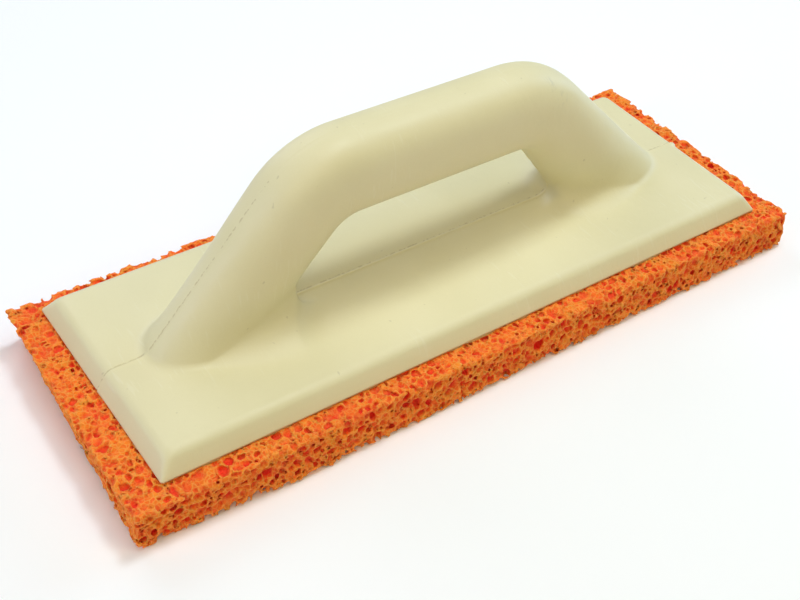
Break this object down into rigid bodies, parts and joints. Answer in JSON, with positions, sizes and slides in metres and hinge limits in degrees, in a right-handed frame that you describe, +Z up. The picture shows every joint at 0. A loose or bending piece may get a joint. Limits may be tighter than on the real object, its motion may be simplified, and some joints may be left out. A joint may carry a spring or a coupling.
{
  "type": "sponge float",
  "caption": "Hand float: rigid foam board with an integral arched handle, bonded to a coarse open-cell sponge pad.",
  "frame": {"origin": "middle of the sponge pad's working face, which lies on the plane Z = 0", "axes": "+X along the float's length, from the rear leg of the handle to the front leg; +Y across its width; +Z up from the working face through the handle"},
  "size_m": [0.28, 0.102, 0.0848],
  "materials": {
    "rigid_foam": "matt, fine-skinned rigid polyurethane foam, cream",
    "adhesive": "dried contact adhesive, satin",
    "sponge": "matt coarse open-cell sponge, orange"
  },
  "bodies": {
    "root": {"float_body": "rigid_foam", "adhesive_film": "adhesive", "sponge_pad": "sponge"}
  },
  "joints": []
}
